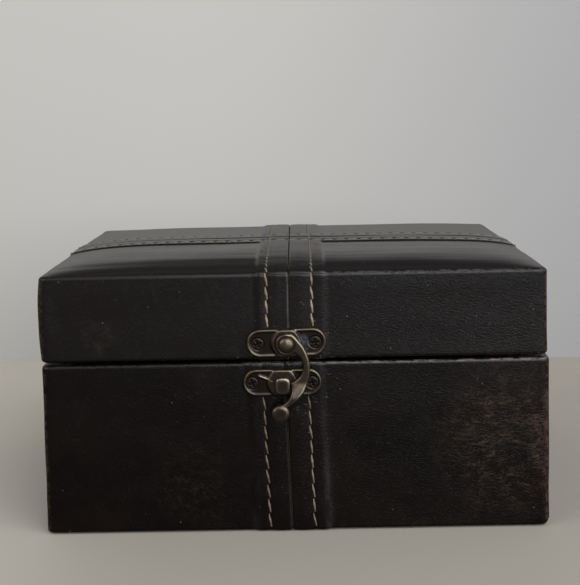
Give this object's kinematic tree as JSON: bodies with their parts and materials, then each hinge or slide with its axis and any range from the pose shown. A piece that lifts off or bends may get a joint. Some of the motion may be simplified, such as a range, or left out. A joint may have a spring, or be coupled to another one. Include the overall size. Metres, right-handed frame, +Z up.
{
  "type": "keepsake box",
  "caption": "Low rectangular leather-covered box with a padded hinged lid, crossed stitched seam bands and a brass swing-hook latch on the front.",
  "frame": {"origin": "centre of the underside, on the surface that the box stands on", "axes": "+X to the right seen from the latch side, +Y from the latch side to the hinges, +Z up"},
  "size_m": [0.183, 0.1416, 0.0981],
  "materials": {
    "leather": "smooth black-brown leather, worn shiny, with brown rubbed edges",
    "lining": "brown suede cloth",
    "thread": "waxed tan thread",
    "felt": "black felt",
    "foam": "soft foam, hidden",
    "board": "raw fibreboard, hidden",
    "old_brass": "antiqued brass, dark in the hollows and rubbed bright on the edges"
  },
  "bodies": {
    "base": {"base_bottom_panel": "board", "base_front_wall": "board", "base_back_wall": "board", "base_left_wall": "board", "base_right_wall": "board", "base_leather_front_left": "leather", "base_leather_front_right": "leather", "base_leather_rear_left": "leather", "base_leather_rear_right": "leather", "base_lining_floor": "lining", "base_lining_walls": "lining", "underside_felt": "felt", "base_stitching_front": "thread", "base_stitching_back": "thread", "base_stitching_left": "thread", "base_stitching_right": "thread", "hinge_left_base_leaf": "old_brass", "hinge_right_base_leaf": "old_brass", "hinge_left_pin": "old_brass", "hinge_right_pin": "old_brass", "hinge_base_screws": "old_brass", "catch_plate": "old_brass", "catch_stud": "old_brass", "catch_plate_screws": "old_brass"},
    "lid": {"lid_top_panel": "board", "lid_front_wall": "board", "lid_back_wall": "board", "lid_left_wall": "board", "lid_right_wall": "board", "lid_padding": "foam", "lid_leather_front_left": "leather", "lid_leather_front_right": "leather", "lid_leather_rear_left": "leather", "lid_leather_rear_right": "leather", "lid_lining_top": "lining", "lid_lining_walls": "lining", "lid_stitching_front_back": "thread", "lid_stitching_left_right": "thread", "hinge_left_lid_leaf": "old_brass", "hinge_right_lid_leaf": "old_brass", "hinge_lid_screws": "old_brass", "latch_plate": "old_brass", "latch_rivet": "old_brass", "latch_plate_screws": "old_brass"},
    "hook": {"latch_hook": "old_brass"}
  },
  "joints": [
    {"name": "lid_hinge", "type": "hinge", "parent": "base", "child": "lid", "pos_m": [0, 0.0666, 0.06195], "axis": [-1, 0, 0], "range_deg": [0, 105]},
    {"name": "hook_swing", "type": "hinge", "parent": "lid", "child": "hook", "pos_m": [-0.0026, -0.0656, 0.0686], "axis": [0, -1, 0], "range_deg": [0, 290]}
  ]
}
